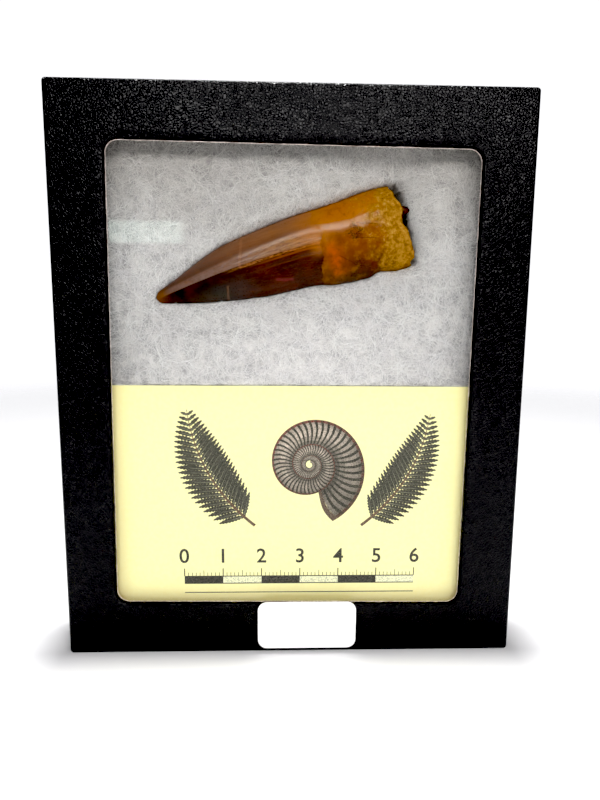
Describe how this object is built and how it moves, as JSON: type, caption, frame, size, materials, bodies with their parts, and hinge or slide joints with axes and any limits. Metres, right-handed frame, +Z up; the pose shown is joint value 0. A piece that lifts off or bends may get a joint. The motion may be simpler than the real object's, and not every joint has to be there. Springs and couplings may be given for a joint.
{
  "type": "boxed spinosaurus tooth",
  "caption": "Fossil tooth pressed on white wadding behind glass in a shallow black display case, over a cream card, with a bare label on the lid.",
  "frame": {"origin": "on the standing surface, under the middle of the case's width and depth", "axes": "+X to the right seen from the front, +Y from the window to the back, +Z up"},
  "size_m": [0.1142, 0.0196, 0.1397],
  "materials": {
    "black_paper": "black leather-grain paper over board, satin",
    "clear_glass": "clear, polished",
    "cream_card": "smooth cream card, matt, printed",
    "white_wadding": "white polyester wadding, fluffy",
    "fossil": "glossy brown fluted enamel on an ochre root",
    "tray_paper": "black paper over board, matt",
    "white_label": "white, smooth, bare"
  },
  "bodies": {
    "root": {"lid": "black_paper", "glass_pane": "clear_glass", "info_card": "cream_card", "batting": "white_wadding", "tooth": "fossil", "base_tray": "tray_paper", "label_sticker": "white_label"}
  },
  "joints": []
}
